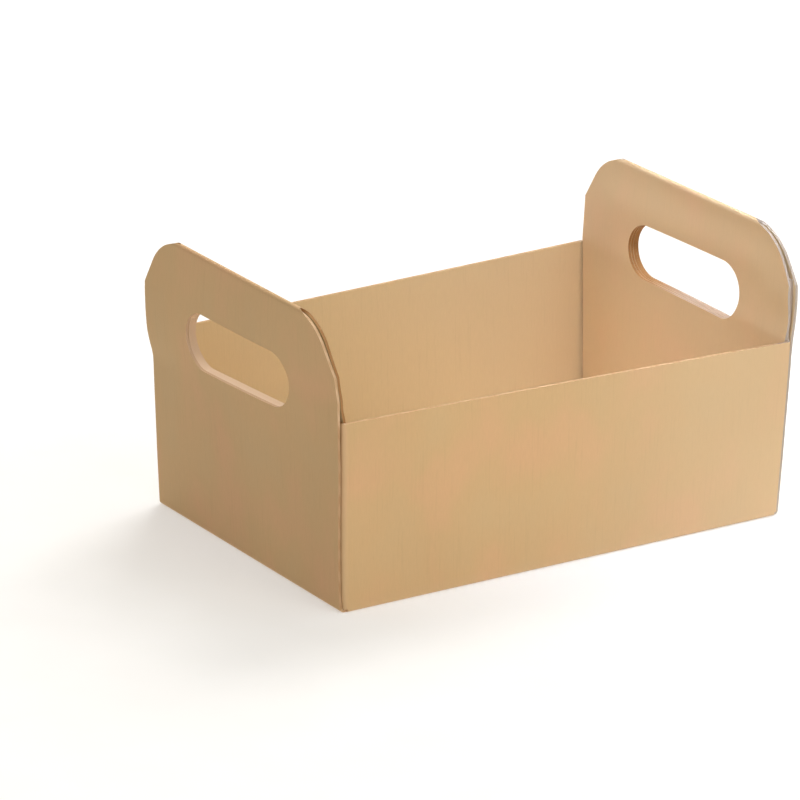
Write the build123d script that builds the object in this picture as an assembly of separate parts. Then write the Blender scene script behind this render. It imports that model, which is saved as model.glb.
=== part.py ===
# Open tray box with two raised carrying handles, folded from one die-cut blank of
# thin kraft corrugated board.
#
# Frame: X runs along the length, Y across the width and Z up. The origin is on the
# floor, under the middle of the box.
#
# The blank: the base joins two long walls and two ends. Each end's outer ply stands up
# from the base, carries the handle, rolls over its top fold and comes back down inside
# as the inner ply, whose tabs lock into slots in the base. Each long wall carries two
# corner flaps, which lie between the outer and the inner ply of the ends. The hand
# hole goes through all four plies.
import os
from math import atan, cos, radians, sin, tan

from build123d import *

# Overall sizes
length = 260.0  # outside length at the base
width = 180.0  # outside width
wall_height = 94.0  # top edge of the long walls above the floor
handle_height = 148.0  # top folds of the handles above the floor

# The board and its folds
board = 1.5  # thickness of one ply
ply_gap = 0.15  # air between neighbouring plies of an end
crease = 0.4  # inside radius of a fold
hem = 1.0  # flat base that a fold's own section carries, past the fold

# Outline of an end, seen along the length
side_clearance = 0.3  # outer ply's cut sides inside the faces of the long walls
inner_clearance = 1.3  # inner ply's cut sides inside the long walls
inner_recess = 0.6  # inner ply's cut sides inside the outer ply's, above the long walls
shoulder_drop = 28.0  # the shoulders start this far below the top fold
shoulder_angle = radians(60.0)  # slope of the shoulders above the horizontal
corner_radius = 29.0  # rounded top corners
outline_rise = 0.3  # the outline's top line above the top fold, so the fold is whole

# The handles lean out above the long walls
lean = 8.0  # how far the outer face leans out, from the bend to the height of the top fold
lean_rise = 4.0  # middle of the bend above the long walls
lean_radius = 40.0  # radius of the bend
pinch_rise = 2.5  # the plies start to close up this far above the flaps

# The hand holes
hole_length = 95.0
hole_height = 30.0
hole_drop = 44.5  # middle of the hole below the top fold

# The corner flaps
flap_past_hole = 12.5  # a flap's free end beyond the far end of the hole
flap_above_hole = 5.0  # a flap's top edge above the hole
flap_recess = 4.0  # a flap's cut side inside the outer ply's, above the long walls
lift = 0.4  # air between a panel's edge and the board that it stands on

# The locking tabs of the inner plies
tab_width = 30.0
tab_spacing = 90.0  # between the middles of the two tabs of an end
tab_clearance = 0.4  # air around a tab in its slot
tab_foot = 0.2  # a tab's end above the floor

# Sizes that follow
fold = board + crease  # outside radius of a fold
stack = 4 * board + 3 * ply_gap  # thickness of an end, all four plies
front_inset = board + ply_gap  # outer face of the front flaps, in from the end's face
back_inset = 2 * front_inset  # outer face of the back flaps
inner_inset = stack - board  # hidden face of the inner ply
end_face = -length / 2  # outer face of the left end at the base
side = width / 2 - side_clearance
inner_side = width / 2 - board - inner_clearance
shoulder_height = handle_height - shoulder_drop
hole_middle = handle_height - hole_drop
flap_top = hole_middle + hole_height / 2 + flap_above_hole
flap_reach = hole_length / 2 + flap_past_hole
bend_height = wall_height + lean_rise
lean_angle = atan(lean / (handle_height - bend_height))


def upright(inset, height):
    """Point of the left end's section below the bend, inset from the outer face."""
    return (end_face + inset, height)


def bend(inset):
    """Corner of the section where the upright part meets the leaning part."""
    return upright(inset, bend_height + inset * tan(lean_angle / 2))


def leaning(inset, run):
    """Point of the section above the bend, the run being measured up the slope."""
    across = inset * cos(lean_angle) - run * sin(lean_angle)
    height = bend_height + inset * sin(lean_angle) + run * cos(lean_angle)
    return (end_face + across, height)


def run_to(inset, height):
    """Run up the slope that reaches a height above the floor, at this inset."""
    return (height - bend_height - inset * sin(lean_angle)) / cos(lean_angle)


fold_run = run_to(stack / 2, handle_height) - fold / cos(lean_angle)  # base of the top fold's arc
pinch_run = run_to(stack / 2, flap_top + pinch_rise)  # where the plies start to close up


def across_end(section, half_width):
    """A section in the XZ plane made solid, as far each way in Y."""
    return extrude(Plane.XZ * section, amount=half_width, both=True)


def through_end(outline):
    """An outline in the YZ plane made solid, right through the left end."""
    return Pos(end_face, 0, 0) * extrude(Plane.YZ * outline, amount=lean + 2 * stack, both=True)


def rolled_section():
    """Section of an end: base fold, outer ply, top fold and inner ply."""
    low = board + lift
    near = stack / 2 - fold
    far = stack / 2 + fold
    tail = end_face + fold + hem
    outer_face = FilletPolyline(
        (tail, 0),
        upright(0, 0),
        bend(0),
        leaning(0, pinch_run),
        leaning(near, fold_run),
        radius=[fold, lean_radius, lean_radius],
    )
    top_fold = ThreePointArc(
        leaning(near, fold_run),
        leaning(stack / 2, fold_run + fold),
        leaning(far, fold_run),
    )
    inner_face = FilletPolyline(
        leaning(far, fold_run),
        leaning(stack, pinch_run),
        bend(stack),
        upright(stack, low),
        radius=[lean_radius, lean_radius + stack],
    )
    foot = Line(upright(stack, low), upright(inner_inset, low))
    inner_back = FilletPolyline(
        upright(inner_inset, low),
        bend(inner_inset),
        leaning(inner_inset, pinch_run),
        leaning(far - board, fold_run),
        radius=[lean_radius + inner_inset, lean_radius],
    )
    inside_fold = ThreePointArc(
        leaning(far - board, fold_run),
        leaning(stack / 2, fold_run + crease),
        leaning(near + board, fold_run),
    )
    outer_back = FilletPolyline(
        leaning(near + board, fold_run),
        leaning(board, pinch_run),
        bend(board),
        upright(board, board),
        (tail, board),
        radius=[lean_radius, lean_radius + board, crease],
    )
    close = Line((tail, board), (tail, 0))
    return make_face([outer_face, top_fold, inner_face, foot, inner_back, inside_fold, outer_back, close])


def inner_half_section():
    """Section of all that lies inwards of the middle of the stack."""
    beyond = 2 * stack
    points = [
        upright(stack / 2, 0),
        bend(stack / 2),
        leaning(stack / 2, fold_run + 2 * fold),
        leaning(beyond, fold_run + 2 * fold),
        bend(beyond),
        upright(beyond, 0),
    ]
    return make_face(Polyline(*points, close=True))


def flap_section(inset):
    """Section of a corner flap whose outer face lies at this inset."""
    low = board + lift
    back = inset + board
    run = run_to(inset, flap_top)
    outer_face = FilletPolyline(
        upright(inset, low), bend(inset), leaning(inset, run), radius=lean_radius + inset
    )
    inner_face = FilletPolyline(
        upright(back, low), bend(back), leaning(back, run), radius=lean_radius + back
    )
    top = Line(outer_face @ 1, inner_face @ 1)
    foot = Line(inner_face @ 0, outer_face @ 0)
    return make_face([outer_face, top, inner_face, foot])


def shoulder_step(height):
    """How far a shoulder has come in from the upright side at this height."""
    return (height - shoulder_height) / tan(shoulder_angle)


def end_outline(half_width, radius):
    """Outline of an end: upright sides, sloping shoulders and rounded top corners."""
    peak = handle_height + outline_rise
    corner = half_width - shoulder_step(peak)
    points = [
        (-half_width, 0),
        (half_width, 0),
        (half_width, shoulder_height),
        (corner, peak),
        (-corner, peak),
        (-half_width, shoulder_height),
    ]
    face = make_face(Polyline(*points, close=True))
    return fillet(face.vertices().group_by(Axis.Y)[-1], radius)


def inner_outline():
    """Outline of the inner ply: narrower between the long walls than in the handle."""
    half_width = side - inner_recess
    radius = corner_radius - inner_recess / tan(shoulder_angle / 2)
    notch_top = wall_height + lift
    notch_width = half_width - inner_side
    notch = Rectangle(notch_width, notch_top, align=(Align.MAX, Align.MIN))
    left_notch = Pos(-inner_side, 0) * notch
    right_notch = Pos(half_width, 0) * notch
    return end_outline(half_width, radius) - left_notch - right_notch


def flap_outline():
    """Outline of a front flap: square below the wall's top, set in along the handle."""
    low = board + lift
    over = flap_top + stack
    fold_line = -width / 2 + fold
    edge = -side + flap_recess
    points = [
        (fold_line, low),
        (fold_line, wall_height),
        (edge, wall_height),
        (edge, shoulder_height),
        (edge + shoulder_step(over), over),
        (flap_reach, over),
        (flap_reach, low),
    ]
    return make_face(Polyline(*points, close=True))


def hand_hole():
    """The hand hole's outline, a slot with round ends."""
    return Pos(0, hole_middle) * SlotOverall(hole_length, hole_height)


def tabs(clearance=0.0):
    """The two locking tabs of the left end, or their slots when given a clearance."""
    low = tab_foot - clearance
    high = board + lift + clearance
    middle = end_face + stack - board / 2
    tab = Box(board + 2 * clearance, tab_width + 2 * clearance, high - low)
    places = [Pos(middle, y, (low + high) / 2) for y in (-tab_spacing / 2, tab_spacing / 2)]
    return [place * tab for place in places]


def left_end():
    """Outer ply, top fold and inner ply of the left end, with its tabs."""
    outer_shape = through_end(end_outline(side, corner_radius))
    inner_shape = through_end(inner_outline())
    rolled = across_end(rolled_section(), side) & outer_shape
    trimmings = (outer_shape - inner_shape) & across_end(inner_half_section(), width)
    return rolled - trimmings - through_end(hand_hole()) + tabs()


def front_flap():
    """The front wall's left flap, and the corner fold that joins it to the wall."""
    flap = across_end(flap_section(front_inset), width) & through_end(flap_outline())
    return flap - through_end(hand_hole()) + corner_fold(front_inset)


def back_flap():
    """The back wall's left flap with its corner fold, one ply further in."""
    flap = across_end(flap_section(back_inset), width)
    flap = flap & through_end(mirror(flap_outline(), about=Plane.YZ))
    fold_piece = mirror(corner_fold(back_inset), about=Plane.XZ)
    return flap - through_end(hand_hole()) + fold_piece


def corner_fold(inset):
    """Upright quarter-round fold at the front left corner."""
    ring = Circle(fold) - Circle(crease)
    quarter = ring & Pos(-fold / 2, -fold / 2) * Rectangle(fold, fold)
    place = Pos(end_face + inset + fold, -width / 2 + fold, fold)
    return place * extrude(quarter, amount=wall_height - fold)


def front_wall(inset):
    """A long wall and its base fold, between corner folds at this inset."""
    face = -width / 2
    tail = face + fold + hem
    outer_face = FilletPolyline((tail, 0), (face, 0), (face, wall_height), radius=fold)
    inner_face = FilletPolyline(
        (face + board, wall_height), (face + board, board), (tail, board), radius=crease
    )
    rim = Line(outer_face @ 1, inner_face @ 0)
    close = Line(inner_face @ 1, outer_face @ 0)
    section = make_face([outer_face, rim, inner_face, close])
    return extrude(Plane.YZ * section, amount=length / 2 - inset - fold, both=True)


def base():
    """The base panel, with the slots for the tabs."""
    panel = Pos(0, 0, board / 2) * Box(length - 2 * fold, width - 2 * fold, board)
    slots = tabs(tab_clearance)
    return panel - slots - [mirror(slot, about=Plane.YZ) for slot in slots]


def tray_box():
    """The whole folded blank, one solid."""
    left = [left_end(), front_flap(), back_flap()]
    right = [mirror(piece, about=Plane.YZ) for piece in left]
    back_wall = mirror(front_wall(back_inset), about=Plane.XZ)
    return base() + front_wall(front_inset) + back_wall + left + right


os.makedirs("parts", exist_ok=True)
export_step(tray_box(), "parts/tray_box.step")
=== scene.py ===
# Open tray box with two carrying handles, folded from one blank of kraft board.
#
# The blank is worked out as one sheet without thickness, panel by panel, then bent a
# little as real board does, and given its thickness last. Lengths are in millimetres
# until the mesh is made.
from math import cos, pi, radians, sin, tan

import bpy
import numpy as np
from mathutils import Matrix, Vector


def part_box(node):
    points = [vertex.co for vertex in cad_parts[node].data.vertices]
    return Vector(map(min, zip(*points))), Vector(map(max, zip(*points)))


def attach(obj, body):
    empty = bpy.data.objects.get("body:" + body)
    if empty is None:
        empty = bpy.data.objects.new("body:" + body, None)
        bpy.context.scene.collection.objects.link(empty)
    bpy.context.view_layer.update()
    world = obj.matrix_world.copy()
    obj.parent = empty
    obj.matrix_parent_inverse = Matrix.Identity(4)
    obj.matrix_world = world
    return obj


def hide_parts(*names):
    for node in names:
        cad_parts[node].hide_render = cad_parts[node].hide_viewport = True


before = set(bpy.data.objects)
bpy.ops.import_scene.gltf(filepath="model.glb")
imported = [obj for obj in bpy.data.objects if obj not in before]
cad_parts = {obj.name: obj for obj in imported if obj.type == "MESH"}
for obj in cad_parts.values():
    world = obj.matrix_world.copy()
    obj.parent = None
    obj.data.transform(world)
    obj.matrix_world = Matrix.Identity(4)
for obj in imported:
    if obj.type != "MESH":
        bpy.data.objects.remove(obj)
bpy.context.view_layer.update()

MM = 0.001
NODE = "tray_box"

low_corner, high_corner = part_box(NODE)

# ---------------------------------------------------------------- sizes of the box
LENGTH = 260.0  # at the base
WIDTH = round((high_corner.y - low_corner.y) / MM, 1)
TALL = round((high_corner.z - low_corner.z) / MM, 1)  # top folds of the handles
WALL = 94.0  # top edges of the long walls
BOARD = 1.35  # one ply of pressed board, a little thinner than new board
AIR = 0.15  # between plies that touch
PLIES = 4  # in an end: outer ply, two corner flaps and inner ply
PAPER = 0.2  # one of the board's two outer papers
WAVE_DEPTH = 0.03  # the waved paper lies this far back in a cut edge

HALF_LENGTH = LENGTH / 2
HALF_WIDTH = WIDTH / 2
SKIN = BOARD / 2  # from the middle of a ply to its face

# Folds, to the middle of the ply
FOLD = 1.225
FOLD_STEPS = 6  # cells in a quarter fold
CREST = TALL - SKIN  # top of the rolled folds, at the middle of the ply
FOLD_TOP = FOLD + SKIN  # height at which a panel that stands on the base is straight
EDGE = HALF_WIDTH - FOLD_TOP  # half width of the end panels and of the base
FLAP_INSET = 2.1  # middle of a corner flap at its fold, in from the end's face
WALL_END = HALF_LENGTH - FLAP_INSET - FOLD  # where the long walls meet their corner folds

# Handles
TOP_STACK = 3.5  # thickness over the rolled top fold
ROLL = TOP_STACK / 2 - SKIN  # radius of the roll, to the middle of the ply
ROLL_START = TALL - TOP_STACK / 2
SHOULDER = 120.1
SHOULDER_SLOPE = radians(60.0)
CORNER = 29.2  # radius of the handle's top corners
WIDER = 0.8  # the handle is this much wider each side than the panel between the walls
HANDLE_SIDE = HALF_WIDTH - 0.45  # half width that the corners' circles are worked out from
FLAP_TOP = 123.5
FLAP_REACH = 60.0  # a flap's free end, past the middle of the box
FLAP_BACK = {-1: -72.0, 1: -86.6}  # each end's flaps' upright side above the walls
FLAP_EASE = 2.0  # a stack starts to change this far before its flaps' ends and tops
FLAP_CENTRED = 80.0  # from here out, above the walls, a flap is in its stack's middle
FLAP_TO_FOLD = 70.0  # from here out a flap eases over to its fold line
INNER_RECESS = 0.8  # the inner plies are this much narrower each side than the outer
INNER_NARROW = 1.6  # and narrow by this much more towards the foot

# Hand holes
HOLE_MIDDLE = {-1: 103.9, 1: 104.7}  # height of each end's hole
HOLE_HALF = 47.8
HOLE_RADIUS = 15.05
HOLE_ASIDE = {-1: 0.1, 1: -0.5}  # middle of each end's hole, away from the middle of the box
OUTER_HOLE = 0.1  # the outer plies' holes have this much more radius
RIM_BAND = (0.3, 4.0)  # away from a hole, where its rim starts to fade and where it is gone

# Lock tabs of the inner plies
TAB_MIDDLE = 45.0
TAB_HALF = 15.0
SLOT_ROOM = 0.4
TAB_FOOT = 0.25
INNER_FOOT = BOARD + 0.4  # the inner plies end this high above the floor

# Where the panels lie on the board's map, away from their places on the box, so that no
# two of them show the same patches
INNER_MAP = 400.0
FLAP_MAP = 500.0
INSIDE_MAP = 700.0
END_MAP = 1000.0
WALL_MAP = 2000.0
BASE_MAP = 3000.0

# Tones of the cut edges, 1 for full brown, which is in part painted shade, and of the rolled top folds,
# 1 for full shade
WALL_BROWN = 0.45
LEFT_BROWN_SHADE = 0.9
ROLL_SHADE = {-1: 0.2, 1: 0.1}

# Names of the mesh's map and marks that the materials read
BOARD_MAP = "board"
WAVE_MARK = "wave"
FOLD_MARK = "fold"
HOLE_MARK = "hole"
BROWN_SHADE_MARK = "brown"
ROLL_MARK = "roll"
INSIDE_MARK = "inside"
SHARP_ANGLE = radians(38)  # corners sharper than this aren't shaded as round


# ---------------------------------------------------------------- numbers and curves
def smooth(x, low, high):
    """0 below low, 1 above high, and 3t^2 - 2t^3 between them."""
    t = np.clip((x - low) / (high - low), 0.0, 1.0)
    return t * t * (3.0 - 2.0 * t)


def through(x, knots, values):
    """Smooth curve through (knot, value) pairs: cubic pieces whose slope at a knot is the
    harmonic mean of the slopes on its two sides, or level where those disagree, so that
    the curve never overshoots."""
    knots, values = np.asarray(knots, float), np.asarray(values, float)
    run = np.diff(values) / np.diff(knots)
    before, after = run[:-1], run[1:]
    agree = before * after > 0
    total = np.where(agree, before + after, 1.0)
    inner = np.where(agree, 2 * before * after / total, 0.0)
    slope = np.concatenate([run[:1], inner, run[-1:]])
    x = np.clip(x, knots[0], knots[-1])
    i = np.clip(np.searchsorted(knots, x, side="right") - 1, 0, len(knots) - 2)
    step = knots[i + 1] - knots[i]
    t = (x - knots[i]) / step
    return (
        (1 + 2 * t) * (1 - t) ** 2 * values[i]
        + t * (1 - t) ** 2 * step * slope[i]
        + t * t * (3 - 2 * t) * values[i + 1]
        - t * t * (1 - t) * step * slope[i + 1]
    )


# How far each end leans out of upright, at its near and its far edge, by height
LEAN = {
    -1: {
        "near": ([0, 8, 28, 49, 69, 90, 97, 105, 116, 119, 133, 148],
                 [-0.1, 0.8, 0.9, 0.7, 0.45, 0.4, 0.8, 0.9, 2.45, 2.85, 4.4, 5.3]),
        "far": ([0, 34, 71, 81, 92, 97, 109, 119, 133, 148],
                [-1.4, 0.0, 1.0, 1.2, 2.4, 3.3, 4.8, 5.3, 5.0, 4.4]),
        "bow": ([0, 30, 70, 90, 104, 119, 133, 148], [0, 0.8, 2.6, 3.35, 3.2, 2.0, 1.2, 0]),
    },
    1: {
        "near": ([0, 45, 82, 90, 94, 98, 103, 115, 119, 133, 148],
                 [-1.7, 1.1, 3.2, 3.5, 3.6, 4.2, 5.1, 6.0, 6.0, 5.3, 4.2]),
        "far": ([0, 45, 82, 94, 103, 117, 133, 148],
                [0.0, -0.1, -0.4, -0.4, 0.0, 0.6, 1.4, 2.2]),
        "bow": ([0, 30, 70, 90, 104, 119, 133, 148], [0, 0.5, 1.6, 2.3, 2.2, 2.0, 1.4, 0]),
    },
}

# Thickness of the stack at its near and far edge, by height: the plies spring apart
# there, and close up above the walls
OPEN = {
    -1: {"near": ([0, 92, 103, 148], [4.5, 4.5, 3.0, 3.1]),
         "far": ([0, 84, 96, 148], [4.5, 4.5, 4.4, 3.6])},
    1: {"near": ([0, 92, 98, 104, 115, 127, 137, 148],
                 [4.5, 4.5, 3.9, 4.0, 5.2, 4.3, 3.5, 3.5]),
        "far": ([0, 84, 96, 148], [4.5, 4.5, 4.4, 3.6])},
}

# How far the outer ply springs away from the rest of its end
SPRUNG = {
    -1: {"near": ([0, 8, 28, 69, 90, 100, 116, 130, 148],
                  [0, 0.15, 0.2, 0.2, 0.6, 0.7, 0.3, 0, 0]),
         "far": ([0, 34, 71, 81, 92, 97, 109, 119, 133, 148],
                 [0, 0, 0.2, 0.3, 1.3, 1.2, 0.6, 0.3, 0, 0])},
    1: {"near": ([0, 30, 90, 104, 148], [0, 0.2, 0.3, 0, 0]),
        "far": ([0, 30, 90, 110, 148], [0, 0.2, 0.5, 0, 0])},
}
SPRUNG_FROM = 40.0  # the gap opens from here out
FULL_STACK = PLIES * BOARD + 6 * AIR  # where all four plies lie together, round the hand hole
SEAM = 0.02  # between the plies at the hand hole's rim, where their cut edges swell
FAR_THINNER = {-1: 0.8, 1: 0.0}  # how much thinner it is at the hand hole's far side
THINNER_ALONG = (5.0, 50.0)  # where that comes in, along the end
THINNER_UP = (55.0, 85.0)  # and up it

# Where the long walls' corners stand, away from the plain box: (x, y at the base, y at
# the top, height), near and far, left and right. x is in the lean of the ends.
CORNERS = {
    (-1, -1): (0.0, 0.8, 2.65),
    (-1, 1): (0.0, -0.2, -2.5),
    (1, -1): (1.35, 0.0, -2.5),
    (1, 1): (0.0, 0.0, 1.7),
}
HANDLE_DROP = {-1: -1.0, 1: -0.95}  # height of each handle's top, away from the plain box
FRONT_BOW = 1.2  # the long walls' top edges bow in, at the middle
BACK_BOW = 0.4


def by_edge(table, y, z):
    """Value between a near-edge and a far-edge curve of height, straight across Y."""
    s = np.clip((y + HALF_WIDTH) / WIDTH, 0.0, 1.0)
    return through(z, *table["near"]) * (1 - s) + through(z, *table["far"]) * s


def near_hole(x, y, z):
    """1 on the rim of a hand hole, falling to 0 at the end of the rim's band."""
    aside = np.where(x < 0, HOLE_ASIDE[-1], HOLE_ASIDE[1])
    along = np.maximum(np.abs(y - aside) - (HOLE_HALF - HOLE_RADIUS), 0.0)
    middle = np.where(x < 0, HOLE_MIDDLE[-1], HOLE_MIDDLE[1])
    away = np.hypot(along, z - middle) - HOLE_RADIUS
    return 1 - smooth(away, *RIM_BAND)


def stack_at(end, y, z):
    """Thickness of an end: full round the hand hole, open or closed at its edges, and
    closing to the rolled fold above the flaps."""
    to_edge = smooth(np.abs(y), FLAP_REACH - FLAP_EASE, EDGE)
    full = FULL_STACK - FAR_THINNER[end] * smooth(y, *THINNER_ALONG) * smooth(z, *THINNER_UP)
    thick = full * (1 - to_edge) + by_edge(OPEN[end], y, z) * to_edge
    to_fold = smooth(z, FLAP_TOP - FLAP_EASE, ROLL_START)
    return thick * (1 - to_fold) + TOP_STACK * to_fold


def sprung_at(end, y, z):
    """Gap that opens under the outer ply towards its two edges."""
    return by_edge(SPRUNG[end], y, z) * smooth(np.abs(y), SPRUNG_FROM, EDGE)


def bent(points):
    """The plain upright box, bent as the real one is: each point's X moves by the lean
    and bow of the two ends, blended along the box, its Y by the corners' moves and the
    walls' bow, and its Z by the corners' heights and, above the walls, the handles'."""
    x, y, z = points[..., 0], points[..., 1], points[..., 2]
    u = np.clip((x + HALF_LENGTH) / LENGTH, 0.0, 1.0)
    s = np.clip((y + HALF_WIDTH) / WIDTH, 0.0, 1.0)
    dx = np.zeros_like(x)
    dy = np.zeros_like(x)
    dz = np.zeros_like(x)
    handle = np.zeros_like(x)
    rise = np.clip((z - FOLD_TOP) / (WALL - FOLD_TOP), 0.0, 1.0)
    for end in (-1, 1):
        share = u if end == 1 else 1 - u
        bow = through(z, *LEAN[end]["bow"]) * (1 - (2 * s - 1) ** 2)
        dx += end * share * (by_edge(LEAN[end], y, z) + bow)
        handle += share * HANDLE_DROP[end]
        for edge in (-1, 1):
            part = share * (s if edge == 1 else 1 - s)
            foot, top, lift = CORNERS[end, edge]
            dy += part * (foot + (top - foot) * rise)
            dz += part * lift
    along = 4 * u * (1 - u) * rise**2
    dy += along * (FRONT_BOW * (1 - s) - BACK_BOW * s)
    to_handle = smooth(z, WALL, SHOULDER)
    dz = dz * rise * (1 - to_handle) + handle * to_handle
    return np.stack([x + dx, y + dy, z + dz], -1)


# ---------------------------------------------------------------- outlines of the plies
def line(start, stop, step):
    """Points from start up to but not at stop, about a step apart."""
    start, stop = np.array(start, float), np.array(stop, float)
    count = max(1, int(round(float(np.hypot(*(stop - start))) / step)))
    t = np.arange(count)[:, None] / count
    return start + (stop - start) * t


def spaced(marks, step):
    """Sorted numbers that hit every mark and are about a step apart between them."""
    parts = [line((a, 0), (b, 0), step)[:, 0] for a, b in zip(marks[:-1], marks[1:])]
    return np.concatenate(parts + [marks[-1:]])


SLOT = TAB_HALF + SLOT_ROOM
ACROSS = spaced([-EDGE, -TAB_MIDDLE - SLOT, -TAB_MIDDLE + SLOT,
                 TAB_MIDDLE - SLOT, TAB_MIDDLE + SLOT, EDGE], 4.4)
TAB_X = HALF_LENGTH - FULL_STACK + SKIN  # middle of the inner plies at their feet
TAB_ROOM = SKIN + SLOT_ROOM
ALONG = spaced([-HALF_LENGTH + FOLD_TOP, -WALL_END, -TAB_X - TAB_ROOM, -TAB_X + TAB_ROOM,
                TAB_X - TAB_ROOM, TAB_X + TAB_ROOM, WALL_END, HALF_LENGTH - FOLD_TOP], 6.0)
UPWARD = np.linspace(FOLD_TOP, WALL, 21)
INNER_HALF = EDGE - INNER_RECESS
FOOT_HALF = INNER_HALF - INNER_NARROW
INNER_BOTTOM = spaced([-FOOT_HALF, -TAB_MIDDLE - TAB_HALF, -TAB_MIDDLE + TAB_HALF,
                       TAB_MIDDLE - TAB_HALF, TAB_MIDDLE + TAB_HALF, FOOT_HALF], 5.0)
TAB_PLACES = np.linspace(-TAB_HALF, TAB_HALF, 7)


def handle_side(half, foot, narrow):
    """Right side of an end's outline, upwards: nearly upright to the wall's top, a small
    step out, the upright and the sloping shoulder, and the corner's circle up to the
    straight top. Also gives where the straight top ends."""
    wide = half + WIDER
    straight = HANDLE_SIDE - (CREST - SHOULDER) / tan(SHOULDER_SLOPE)
    straight -= CORNER * tan(SHOULDER_SLOPE / 2)
    full = HANDLE_SIDE - straight
    radius = CORNER * (1 - (HANDLE_SIDE - wide) / full)
    turn = np.linspace(SHOULDER_SLOPE, 0.0, 17)
    arc = np.stack([straight + radius * np.sin(turn), CREST - radius * (1 - np.cos(turn))], -1)
    shoulder = arc[0, 1] - (wide - arc[0, 0]) * tan(SHOULDER_SLOPE)
    return straight, np.concatenate([
        line((half - narrow, foot), (half, WALL - 8), 4.2),
        line((half, WALL - 8), (wide, WALL + 2), 4.0),
        line((wide, WALL + 2), (wide, shoulder), 3.5),
        line((wide, shoulder), arc[0], 3.0),
        arc[:-1],
    ])


def end_outline(half, bottom, foot, narrow=0.0):
    """Closed outline of an end's ply, anticlockwise from its lower left corner."""
    straight, right = handle_side(half, foot, narrow)
    top = np.linspace(straight, -straight, 31)
    top = np.stack([top, np.full(len(top), CREST)], -1)
    low = np.stack([bottom, np.full(len(bottom), foot)], -1)
    left = right[::-1] * [-1, 1]
    return np.concatenate([low[:-1], right, top, left[:-1]])


def flap_outline(back):
    """Closed outline of the near flap: the floor side, the free end past the hand hole,
    the top above the hole, set back along the handle, and down its fold line."""
    fold = np.stack([np.full(len(UPWARD), -EDGE), UPWARD], -1)[::-1]
    return np.concatenate([
        line((-EDGE, FOLD_TOP), (FLAP_REACH, FOLD_TOP), 5.0),
        line((FLAP_REACH, FOLD_TOP), (FLAP_REACH, FLAP_TOP), 5.0),
        line((FLAP_REACH, FLAP_TOP), (back, FLAP_TOP), 4.5),
        line((back, FLAP_TOP), (back, WALL + 4), 4.5),
        line((back, WALL + 4), (-EDGE, WALL), 4.5),
        fold[:-1],
    ])


def shares(end):
    """Shares of the way from the hand hole to the outline: even, then in equal turns of
    the roll of the top fold."""
    roll = ROLL / (CREST - HOLE_MIDDLE[end] - HOLE_RADIUS)
    steps = 1 - roll * (1 - np.sin(np.linspace(0, pi / 2, 6)))
    return np.concatenate([np.linspace(0, steps[0], 17)[:-1], steps])


def ring(outline, end, radius=HOLE_RADIUS):
    """Grid of (y, z) places between the hand hole and a closed outline: place = hole +
    share x (outline - hole), where the hole's point is the nearest point of its long
    axis plus the radius towards the outline."""
    outline = np.concatenate([outline, outline[:1]])
    reach = HOLE_HALF - HOLE_RADIUS
    axis = np.stack([
        np.clip(outline[:, 0], HOLE_ASIDE[end] - reach, HOLE_ASIDE[end] + reach),
        np.full(len(outline), HOLE_MIDDLE[end]),
    ], -1)
    away = outline - axis
    hole = axis + away / np.linalg.norm(away, axis=1, keepdims=True) * radius
    return hole[None] + shares(end)[:, None, None] * (outline - hole)[None]


# ---------------------------------------------------------------- the sheet's panels
panels = []


def panel(points, across, up, facing, crease=0.0, keep=None, brown=0.0, roll=0.0, swell=0.0):
    """Adds one grid of the sheet. Points are plain places, across and up run along the
    board in millimetres, facing is the side that is outside on the flat blank, crease
    is 1 on a fold, keep drops grid cells, brown is 1 where a cut edge is painted dark,
    in part as painted shade, roll is 1 on a top fold and swell is how much thicker each
    half of the ply is."""
    rows, columns = points.shape[:2]
    index = np.arange(rows * columns).reshape(rows, columns)
    cells = np.stack([index[:-1, :-1], index[:-1, 1:], index[1:, 1:], index[1:, :-1]], -1)
    if keep is not None:
        cells = cells[keep]
    cells = cells.reshape(-1, 4)
    flat = points.reshape(-1, 3)
    one, two = flat[cells[:, 2]] - flat[cells[:, 0]], flat[cells[:, 3]] - flat[cells[:, 1]]
    if np.cross(one, two).sum(0) @ np.asarray(facing, float) < 0:
        cells = cells[:, ::-1]
    shape = (rows, columns)
    hole = near_hole(*np.moveaxis(points, -1, 0))
    marks = (crease, hole, brown, roll, swell)
    panels.append({
        "points": bent(flat),
        "cells": cells,
        "map": np.stack([np.broadcast_to(v, shape) for v in (across, up)], -1).reshape(-1, 2),
        "marks": np.stack([np.broadcast_to(v, shape).ravel() for v in marks], -1),
    })


def quarter_fold():
    """Angles of a quarter fold and how strongly each is creased."""
    turn = np.linspace(0, pi / 2, FOLD_STEPS + 1)
    return turn, 0.35 + 0.65 * np.sin(2 * turn)


def swell_at(end, y, z):
    """Half of what each ply lacks to fill the stack, less the seams between plies."""
    return np.maximum(stack_at(end, y, z) / PLIES - SEAM - BOARD, 0.0) / 2


def brown_and_painted_shade(end, y, hole):
    """How brown an end's cut edges are, in part as painted shade: the left end's along its
    outline, where the edges of the flaps and the inner ply lie back in the gaps between
    plies, the right end's round its hand hole and most at the hole's far side, the side in
    shade. The left outer ply has its own."""
    if end == -1:
        return LEFT_BROWN_SHADE * (1 - hole)
    return hole * (0.5 + 0.5 * smooth(y, -5.0, 35.0))


def left_outer_browned(z):
    """How brown the left outer ply's cut edge is: less along the handle than below it."""
    return 0.5 - 0.3 * smooth(z, WALL - 6, WALL + 6)


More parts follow.
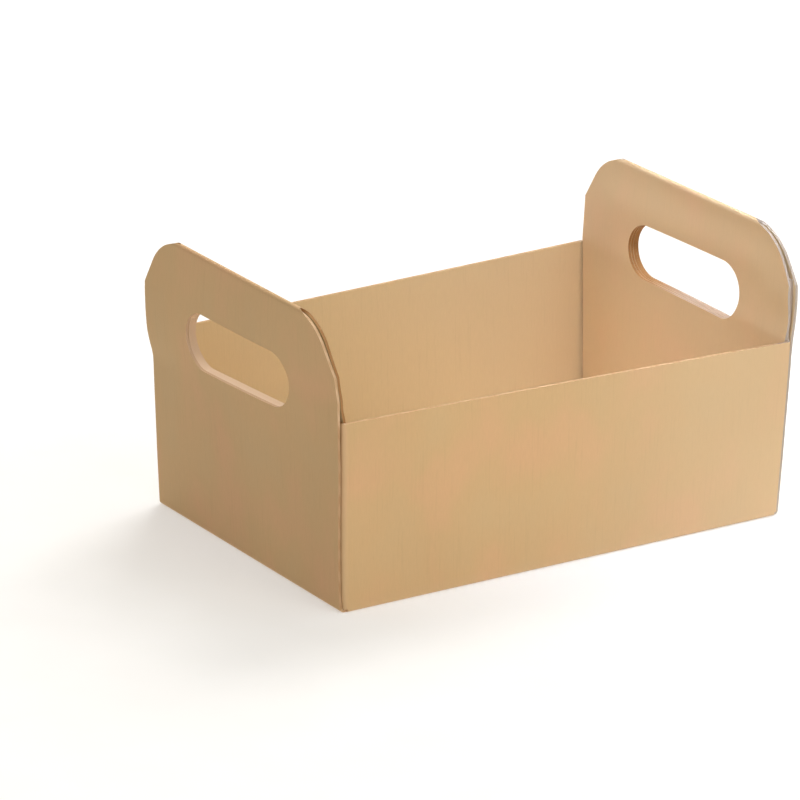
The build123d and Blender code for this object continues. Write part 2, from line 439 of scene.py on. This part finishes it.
def end_ply(end, places, inner):
    """Outer or inner ply of an end with its half of the rolled top fold. Below the roll
    it lies at its own depth in the stack. In the roll its depth is that of the roll's
    middle, less or plus sqrt(roll^2 - (z - start)^2)."""
    y, z = places[..., 0], places[..., 1]
    over = np.clip(z - ROLL_START, 0.0, ROLL)
    side = 1 if inner else -1
    roll = TOP_STACK / 2 + side * np.sqrt(ROLL**2 - over**2)
    hole = near_hole(end * HALF_LENGTH, y, z)
    rest = SKIN + hole * (stack_at(end, y, z) / (2 * PLIES) - SKIN)
    flat = stack_at(end, y, z) - rest if inner else rest - sprung_at(end, y, z)
    inset = np.where(z > ROLL_START, roll, flat)
    points = np.stack([end * (HALF_LENGTH - inset), y, z], -1)
    brown = brown_and_painted_shade(end, y, hole) if inner or end == 1 else left_outer_browned(z)
    across = y + (INNER_MAP if inner else 0) + END_MAP * end
    rolled = smooth(z, ROLL_START - 0.2, ROLL_START + ROLL / 2) * ROLL_SHADE[end]
    panel(points, across, z, (-side * end, 0, 0), brown=brown, roll=rolled,
          swell=hole * swell_at(end, y, z))


def base_panel():
    """The base: a flat grid, without the cells of the four tab slots."""
    x, y = np.meshgrid(ALONG, ACROSS, indexing="ij")
    middle_x = np.abs(x[1:, 1:] + x[:-1, :-1]) / 2
    middle_y = np.abs(y[1:, 1:] + y[:-1, :-1]) / 2
    slot = (np.abs(middle_x - TAB_X) < TAB_ROOM) & (np.abs(middle_y - TAB_MIDDLE) < SLOT)
    points = np.stack([x, y, np.full(x.shape, SKIN)], -1)
    panel(points, x + BASE_MAP, y, (0, 0, -1), keep=~slot)


def end_foot(end):
    """Lower fold of an end, a quarter circle from the base up to the outer ply."""
    turn, crease = quarter_fold()
    turn, y = np.meshgrid(turn, ACROSS, indexing="ij")
    rest = sprung_at(end, y, 0 * y + FOLD_TOP) * (1 - np.cos(turn))
    x = HALF_LENGTH - FOLD_TOP + FOLD * np.sin(turn) + rest
    z = SKIN + FOLD * (1 - np.cos(turn))
    points = np.stack([end * x, y, z], -1)
    panel(points, y + END_MAP * end, z, (end, 0, -1), crease[:, None])


def long_wall(edge):
    """A long wall with its lower fold, a quarter circle, and a flat grid above it."""
    x = ALONG[1:-1]
    turn, crease = quarter_fold()
    turn, along = np.meshgrid(turn, x, indexing="ij")
    y = EDGE + FOLD * np.sin(turn)
    z = SKIN + FOLD * (1 - np.cos(turn))
    points = np.stack([along, edge * y, z], -1)
    panel(points, along + WALL_MAP * edge, z, (0, edge, -1), crease[:, None])
    z, along = np.meshgrid(UPWARD, x, indexing="ij")
    y = np.full(z.shape, edge * (HALF_WIDTH - SKIN))
    points = np.stack([along, y, z], -1)
    panel(points, along + WALL_MAP * edge, z, (0, edge, 0), brown=WALL_BROWN)


def corner_flap(end, edge):
    """A long wall's corner fold, an upright quarter circle, and the flap that it carries,
    between the plies of the end. The near flap lies against the outer ply and the far
    one against the inner ply. Near the handle's sides, above the walls, a flap comes to
    the middle of the stack, and at the right end it swells to fill it."""
    turn, crease = quarter_fold()
    turn, z = np.meshgrid(turn, UPWARD, indexing="ij")
    x = WALL_END + FOLD * np.sin(turn)
    y = EDGE + FOLD * np.cos(turn)
    points = np.stack([end * x, edge * y, z], -1)
    panel(points, x + WALL_MAP * edge, z, (end, edge, 0), crease[:, None])
    places = ring(flap_outline(FLAP_BACK[end]) * [-edge, 1], end)
    y, z = places[..., 0], places[..., 1]
    hole = near_hole(end * HALF_LENGTH, y, z)
    depth = SKIN + BOARD + AIR
    depth += hole * (stack_at(end, y, z) * 3 / (2 * PLIES) - depth)
    if edge == 1:
        depth = stack_at(end, y, z) - depth
    centred = smooth(np.abs(y), FLAP_REACH, FLAP_CENTRED) * smooth(z, WALL + 2, SHOULDER - 15)
    depth += centred * (stack_at(end, y, z) / 2 - depth)
    swell = hole * swell_at(end, y, z)
    if end == 1:
        swell += centred * np.maximum(stack_at(end, y, z) / 2 - 1.5 * BOARD - SEAM, 0.0)
    to_fold = smooth(edge * y, FLAP_TO_FOLD, EDGE)
    depth = depth * (1 - to_fold) + FLAP_INSET * to_fold
    points = np.stack([end * (HALF_LENGTH - depth), y, z], -1)
    across = y + FLAP_MAP * edge + END_MAP * end
    panel(points, across, z, (end, 0, 0), brown=brown_and_painted_shade(end, y, hole), swell=swell)


def lock_tabs(end):
    """Two tabs that carry the inner ply's foot down into the base's slots."""
    for middle in (-TAB_MIDDLE, TAB_MIDDLE):
        y = middle + TAB_PLACES
        z, y = np.meshgrid([TAB_FOOT, 1.0, INNER_FOOT], y, indexing="ij")
        depth = stack_at(end, y, z) - SKIN
        points = np.stack([end * (HALF_LENGTH - depth), y, z], -1)
        panel(points, y + INNER_MAP + END_MAP * end, z, (-end, 0, 0))


base_panel()
for edge in (-1, 1):
    long_wall(edge)
for end in (-1, 1):
    end_foot(end)
    outer = end_outline(EDGE, ACROSS, FOLD_TOP)
    end_ply(end, ring(outer, end, HOLE_RADIUS + OUTER_HOLE), False)
    inner = end_outline(INNER_HALF, INNER_BOTTOM, INNER_FOOT, INNER_NARROW)
    end_ply(end, ring(inner, end), True)
    lock_tabs(end)
    for edge in (-1, 1):
        corner_flap(end, edge)


# ---------------------------------------------------------------- one sheet, then its thickness
def joined(parts):
    """All panels as one sheet: points that fall on the same place are made one."""
    counts = np.cumsum([0] + [len(p["points"]) for p in parts])
    points = np.concatenate([p["points"] for p in parts])
    cells = np.concatenate([p["cells"] + c for p, c in zip(parts, counts)])
    maps = np.concatenate([p["map"] for p in parts])[cells]
    marks = np.concatenate([p["marks"] for p in parts])
    _, first, same = np.unique(np.round(points, 3), axis=0, return_index=True, return_inverse=True)
    same = same.ravel()
    shared = np.zeros((len(first), marks.shape[1]))
    np.maximum.at(shared, same, marks)
    return points[first], same[cells], maps, shared


def face_normals(points, cells):
    """Cross product of a cell's two diagonals, whose length is twice its area."""
    return np.cross(points[cells[:, 2]] - points[cells[:, 0]], points[cells[:, 3]] - points[cells[:, 1]])


def unit(vectors):
    return vectors / np.maximum(np.linalg.norm(vectors, axis=-1, keepdims=True), 1e-12)


def corner_sum(count, cells, vectors):
    """Sum, at each point, of the vectors of the cells that meet there."""
    total = np.zeros((count, 3))
    for corner in range(4):
        np.add.at(total, cells[:, corner], vectors)
    return total


def thickened(points, cells, maps, marks):
    """The sheet with its thickness: the points moved half a ply each way along their
    normals, and its cut edges closed by three strips, two for the outer papers and a
    wider one, set in a little, for the waved paper between them. The last mark, how much
    each half of the ply swells, is used up here, and a mark for the inner side is added."""
    count = len(points)
    normals = unit(corner_sum(count, cells, face_normals(points, cells)))
    pairs = np.concatenate([cells[:, [i, (i + 1) % 4]] for i in range(4)])
    pair_maps = np.concatenate([maps[:, [i, (i + 1) % 4]] for i in range(4)])
    _, which, times = np.unique(np.sort(pairs, 1), axis=0, return_inverse=True, return_counts=True)
    edge = times[which.ravel()] == 1
    start, stop = pairs[edge].T
    edge_maps = pair_maps[edge]
    outward = np.cross(points[stop] - points[start], normals[start] + normals[stop])
    away = np.zeros((count, 3))
    np.add.at(away, start, unit(outward))
    np.add.at(away, stop, unit(outward))
    rim, place = np.unique(start, return_inverse=True)
    number = np.zeros(count, int)
    number[rim] = np.arange(len(rim))
    back = unit(away[rim]) * WAVE_DEPTH
    half = SKIN + marks[:, -1:]
    up = normals[rim] * (half[rim] - PAPER)
    solid = np.concatenate([
        points + normals * half,
        points - normals * half,
        points[rim] + up - back,
        points[rim] - up - back,
    ])
    high, low = 2 * count + number, 2 * count + len(rim) + number
    strips = [(start, stop), (high[start], high[stop]), (low[start], low[stop]),
              (start + count, stop + count)]
    faces = [cells, cells[:, ::-1] + count]
    corners = [maps, maps[:, ::-1] + [0.0, INSIDE_MAP]]
    for (a, b), (c, d) in zip(strips[:-1], strips[1:]):
        faces.append(np.stack([b, a, c, d], -1))
        corners.append(edge_maps[:, [1, 0, 0, 1]])
    kind = np.repeat([0, 1], [2 * len(cells), 3 * len(start)])
    wave = np.repeat([0.0, 1.0], [2 * count, 2 * len(rim)])
    inside = np.repeat([0.0, 1.0, 0.0], [count, count, 2 * len(rim)])[:, None]
    marks = marks[:, :-1]
    marks = np.hstack([np.concatenate([marks, marks, marks[rim], marks[rim]]), inside])
    return solid, np.concatenate(faces), np.concatenate(corners), kind, wave, marks


solid, faces, corners, kind, wave, marks = thickened(*joined(panels))


def made_mesh(name):
    """The board's mesh, with the map of the board and the marks that its materials read."""
    mesh = bpy.data.meshes.new(name)
    mesh.vertices.add(len(solid))
    mesh.vertices.foreach_set("co", (solid * MM).astype(np.float32).ravel())
    mesh.loops.add(faces.size)
    mesh.loops.foreach_set("vertex_index", faces.astype(np.int32).ravel())
    mesh.polygons.add(len(faces))
    mesh.polygons.foreach_set("loop_start", np.arange(0, faces.size, 4, dtype=np.int32))
    mesh.polygons.foreach_set("material_index", kind.astype(np.int32))
    mesh.update(calc_edges=True)
    board_map = mesh.uv_layers.new(name=BOARD_MAP)
    board_map.uv.foreach_set("vector", (corners * MM).astype(np.float32).ravel())
    names = (FOLD_MARK, HOLE_MARK, BROWN_SHADE_MARK, ROLL_MARK, INSIDE_MARK)
    for label, values in zip((WAVE_MARK, *names), (wave, *marks.T)):
        attribute = mesh.attributes.new(label, "FLOAT", "POINT")
        attribute.data.foreach_set("value", values.astype(np.float32))
    mesh.shade_smooth()
    mesh.set_sharp_from_angle(angle=SHARP_ANGLE)
    mesh.validate()
    return mesh


# ---------------------------------------------------------------- materials
def linear(colour):
    """sRGB hex colour as linear RGBA."""
    values = np.array([int(colour[i:i + 2], 16) for i in (0, 2, 4)]) / 255
    values = np.where(values <= 0.04045, values / 12.92, ((values + 0.055) / 1.055) ** 2.4)
    return (*values.tolist(), 1.0)


def add(tree, kind, settings=None, **links):
    """Adds a node. Settings are its properties, or values of its inputs by name or
    number, and links are inputs, by name with _ for a space or _number, to an output."""
    node = tree.nodes.new(kind)
    for key, value in (settings or {}).items():
        if isinstance(key, int):
            node.inputs[key].default_value = value
        elif key in node.inputs and not hasattr(node, key):
            node.inputs[key].default_value = value
        else:
            setattr(node, key, value)
    for key, output in links.items():
        socket = int(key[1:]) if key[1:].isdigit() else key.replace("_", " ")
        tree.links.new(output, node.inputs[socket])
    return node


def new_material(name):
    material = bpy.data.materials.new(name)
    material.use_nodes = True
    tree = material.node_tree
    tree.nodes.clear()
    return material, tree


def mark(tree, name):
    """One of the mesh's marks, 0 to 1."""
    return add(tree, "ShaderNodeAttribute", {"attribute_name": name}).outputs["Fac"]


def ramp(tree, factor, stops):
    """Colour ramp through (place, hex colour or grey value) stops."""
    node = add(tree, "ShaderNodeValToRGB", Fac=factor)
    elements = node.color_ramp.elements
    while len(elements) < len(stops):
        elements.new(0.5)
    for element, (place, colour) in zip(elements, stops):
        element.position = place
        element.color = linear(colour) if isinstance(colour, str) else (colour, colour, colour, 1)
    return node.outputs["Color"]


def stretched(tree, source, scale, offset=(0, 0, 0)):
    node = add(tree, "ShaderNodeMapping", {"Scale": scale, "Location": offset}, Vector=source)
    return node.outputs["Vector"]


def noise(tree, source, scale, detail=2.0, roughness=0.5, offset=(0, 0, 0)):
    """Noise of the given cells to the metre each way; its plain value, about 0 to 1."""
    return add(tree, "ShaderNodeTexNoise",
               {"Scale": 1.0, "Detail": detail, "Roughness": roughness},
               Vector=stretched(tree, source, scale, offset)).outputs["Fac"]


def mixed(tree, blend, factor, one, two):
    """Two colours mixed by a factor that is a number or an output."""
    node = add(tree, "ShaderNodeMix", {"data_type": "RGBA", "blend_type": blend})
    for place, value in ((0, factor), (6, one), (7, two)):
        if isinstance(value, bpy.types.NodeSocket):
            tree.links.new(value, node.inputs[place])
        else:
            node.inputs[place].default_value = value
    return node.outputs[2]


def kraft_face():
    """Unbleached kraft paper on the faces of the board: matt, warm brown, made paler by painted
    light on the blank's inner side and towards the right end, a little shaded on the rolled
    top folds and worn on the others, with fibres along the height of each panel and soft
    patches where the pulp is redder or greener."""
    material, tree = new_material("kraft_liner_rolled")
    board = add(tree, "ShaderNodeUVMap", {"uv_map": BOARD_MAP}).outputs["UV"]
    patches = noise(tree, board, (34, 22, 1), 2.0, 0.45)
    colour = ramp(tree, patches, [(0.30, "D0AF80"), (0.5, "D2AE7E"), (0.70, "D8AD80")])
    # Painted light: the blank's inner side, the inside of the long walls and the top of the base where
    # it shows, is given a paler colour to bring it up to the brightness of the outside.
    colour = mixed(tree, "MIX", mark(tree, INSIDE_MARK), colour, linear("D8C199"))
    clouds = noise(tree, board, (11, 7, 1), 1.0, 0.5, (3, 9, 0))
    fibres = noise(tree, board, (1700, 190, 1), 2.0, 0.6)
    strands = noise(tree, board, (900, 26, 1), 1.0, 0.5, (0, 4, 0))
    for layer, stops in ((clouds, [(0.25, 0.93), (0.75, 1.0)]),
                         (fibres, [(0.2, 0.96), (0.8, 1.02)]),
                         (strands, [(0.28, 0.965), (0.42, 1.0)])):
        colour = mixed(tree, "MULTIPLY", 1.0, colour, ramp(tree, layer, stops))
    # Painted light: the faces are mixed towards a paler colour from the middle of the box out to the
    # right end, where the light falls brighter.
    place = add(tree, "ShaderNodeTexCoord").outputs["Object"]
    along = add(tree, "ShaderNodeSeparateXYZ", Vector=place).outputs["X"]
    pale = add(tree, "ShaderNodeMapRange",
               {"interpolation_type": "SMOOTHSTEP", "From Min": -0.03,
                "From Max": HALF_LENGTH * MM, "To Min": 0.0, "To Max": 0.34},
               Value=along).outputs["Result"]
    colour = mixed(tree, "MIX", pale, colour, linear("E6CCA8"))
    worn = mixed(tree, "MIX", mark(tree, FOLD_MARK), (0, 0, 0, 1), (0.3, 0.3, 0.3, 1))
    colour = mixed(tree, "MIX", worn, colour, linear("DFBF99"))
    colour = mixed(tree, "MULTIPLY", mark(tree, ROLL_MARK), colour, linear("C8BDB4"))
    height = add(tree, "ShaderNodeMath", {"operation": "ADD"}, _0=fibres, _1=strands).outputs[0]
    bump = add(tree, "ShaderNodeBump", {"Strength": 0.25, "Distance": 0.00006}, Height=height)
    shader = add(tree, "ShaderNodeBsdfPrincipled",
                 {"Roughness": 0.72, "IOR": 1.48, "Specular IOR Level": 0.35},
                 Base_Color=colour, Normal=bump.outputs["Normal"])
    add(tree, "ShaderNodeOutputMaterial", Surface=shader.outputs["BSDF"])
    return material


def kraft_edge():
    """Die-cut edge of the board: pale torn fibres of the two outer papers with the
    waved paper between them, 3 mm from wave to wave. It is pinker round the left hand
    hole, greyer at the right end, and brown where it is marked; that brown is in part
    painted shade, on the edges that lie back between the plies and on the right hand
    hole's far rim."""
    material, tree = new_material("kraft_board_die_cut")
    place = add(tree, "ShaderNodeTexCoord").outputs["Object"]
    waves = add(tree, "ShaderNodeTexWave",
                {"wave_type": "BANDS", "bands_direction": "DIAGONAL", "Scale": 55.0,
                 "Distortion": 1.5, "Detail": 1.0, "Detail Scale": 2.0}, Vector=place).outputs["Fac"]
    fibres = noise(tree, place, (1500, 1500, 1500), 2.0, 0.6)
    paper = ramp(tree, fibres, [(0.3, "DAB892"), (0.7, "E6C9A8")])
    core = ramp(tree, waves, [(0.2, "D0AD86"), (0.8, "DDBD98")])
    colour = mixed(tree, "MIX", mark(tree, WAVE_MARK), paper, core)
    along = add(tree, "ShaderNodeSeparateXYZ", Vector=place).outputs["X"]
    right = ramp(tree, along, [(0.122, 0.0), (0.125, 1.0)])
    colour = mixed(tree, "MIX", mark(tree, HOLE_MARK), colour, linear("D3B699"))
    colour = mixed(tree, "MIX", right, colour, linear("B6A89C"))
    # Painted shade, in part: where the brown mark is high the cut edge is darkened to a deep brown, most
    # on the left end's flaps and inner ply and round the right hand hole's far rim.
    colour = mixed(tree, "MIX", mark(tree, BROWN_SHADE_MARK), colour, linear("9C6F42"))
    bump = add(tree, "ShaderNodeBump", {"Strength": 0.3, "Distance": 0.0001}, Height=fibres)
    shader = add(tree, "ShaderNodeBsdfPrincipled",
                 {"Roughness": 0.85, "IOR": 1.48, "Specular IOR Level": 0.25},
                 Base_Color=colour, Normal=bump.outputs["Normal"])
    add(tree, "ShaderNodeOutputMaterial", Surface=shader.outputs["BSDF"])
    return material


def studio_floor():
    """Matt white acrylic of a light table, lit from below as well as from above."""
    material, tree = new_material("lit_white_acrylic")
    place = add(tree, "ShaderNodeTexCoord").outputs["Object"]
    grain = ramp(tree, noise(tree, place, (30, 30, 30), 2.0), [(0.3, 0.59), (0.7, 0.61)])
    shader = add(tree, "ShaderNodeBsdfPrincipled",
                 {"Roughness": 0.9, "Specular IOR Level": 0.1, "Emission Color": linear("FFFEFB"),
                  "Emission Strength": 0.41}, Base_Color=grain)
    add(tree, "ShaderNodeOutputMaterial", Surface=shader.outputs["BSDF"])
    return material


# ---------------------------------------------------------------- the tray
scene = bpy.context.scene
tray = bpy.data.objects.new("folded_board", made_mesh("folded_board"))
scene.collection.objects.link(tray)
tray.data.materials.append(kraft_face())
tray.data.materials.append(kraft_edge())
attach(tray, "root")
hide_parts(NODE)

# ---------------------------------------------------------------- floor, light, camera
FLOOR_HALF = 6.0  # in metres, as all lengths from here on
FLOOR_GAP = 0.0002  # under the base, so that the two faces don't coincide
floor_mesh = bpy.data.meshes.new("floor")
floor_mesh.from_pydata(
    [(x * FLOOR_HALF, y * FLOOR_HALF, -FLOOR_GAP) for x, y in ((-1, -1), (1, -1), (1, 1), (-1, 1))],
    [], [(0, 1, 2, 3)])
floor = bpy.data.objects.new("floor", floor_mesh)
floor_mesh.materials.append(studio_floor())
scene.collection.objects.link(floor)


def studio_world():
    """Soft light from all round, weaker and a little warmer from the left."""
    world = bpy.data.worlds.new("studio")
    world.use_nodes = True
    tree = world.node_tree
    tree.nodes.clear()
    place = add(tree, "ShaderNodeTexCoord").outputs["Generated"]
    across = add(tree, "ShaderNodeSeparateXYZ", Vector=place).outputs["X"]
    level = add(tree, "ShaderNodeMapRange",
                {"interpolation_type": "SMOOTHSTEP", "From Min": -1.0, "From Max": 0.35,
                 "To Min": 0.23, "To Max": 0.78}, Value=across).outputs["Result"]
    side = add(tree, "ShaderNodeMapRange", {"From Min": -1.0, "From Max": 0.2}, Value=across)
    tint = mixed(tree, "MIX", side.outputs["Result"], linear("FFF0DC"), linear("FFFCF6"))
    light = add(tree, "ShaderNodeBackground", Color=tint, Strength=level)
    add(tree, "ShaderNodeOutputWorld", Surface=light.outputs["Background"])
    return world


scene.world = studio_world()


def softbox(name, place, target, width, depth, watts, colour, spread=180.0):
    """Rectangular light that faces the target, its beam held in by a grid to the spread
    in degrees."""
    light = bpy.data.lights.new(name, "AREA")
    light.shape = "RECTANGLE"
    light.size, light.size_y = width, depth
    light.energy = watts
    light.spread = radians(spread)
    light.color = linear(colour)[:3]
    holder = bpy.data.objects.new(name, light)
    holder.location = place
    holder.rotation_euler = (Vector(target) - Vector(place)).to_track_quat("-Z", "Y").to_euler()
    holder.visible_camera = False
    scene.collection.objects.link(holder)
    return holder


softbox("key_front", (0.15, -1.7, 1.7), (0, 0, 0.05), 1.2, 1.0, 10.9, "FFFBF2")
softbox("top", (-0.16, -0.12, 0.8), (0.09, 0.0, 0.06), 0.2, 0.2, 0.24, "DCE8FF", 28.0)
softbox("key_right", (1.5, 1.2, 2.2), (0, 0, 0), 1.5, 1.5, 52.0, "FFFEFC")

# Camera: a long lens from the front left, a little above
AZIMUTH, ELEVATION, ROLL_ANGLE = radians(32.06), radians(19.62), radians(0.16)
AWAY = 3.2355
AIM = Vector((-0.0393, 0.0075, 0.060))
ahead = Vector((sin(AZIMUTH) * cos(ELEVATION), cos(AZIMUTH) * cos(ELEVATION), -sin(ELEVATION)))
aside = Vector((cos(AZIMUTH), -sin(AZIMUTH), 0.0))
above = aside.cross(ahead)
turned_aside = aside * cos(ROLL_ANGLE) + above * sin(ROLL_ANGLE)
turned_above = above * cos(ROLL_ANGLE) - aside * sin(ROLL_ANGLE)
camera_data = bpy.data.cameras.new("camera")
camera_data.lens = 292.5
camera_data.sensor_width = 36.0
camera_data.shift_x = 0.006
camera_data.shift_y = 0.0076
camera_data.clip_start, camera_data.clip_end = 0.1, 50.0
camera = bpy.data.objects.new("camera", camera_data)
facing = Matrix((turned_aside, turned_above, -ahead)).transposed().to_4x4()
camera.matrix_world = Matrix.Translation(AIM - ahead * AWAY) @ facing
scene.collection.objects.link(camera)
scene.camera = camera

scene.view_settings.view_transform = "Standard"
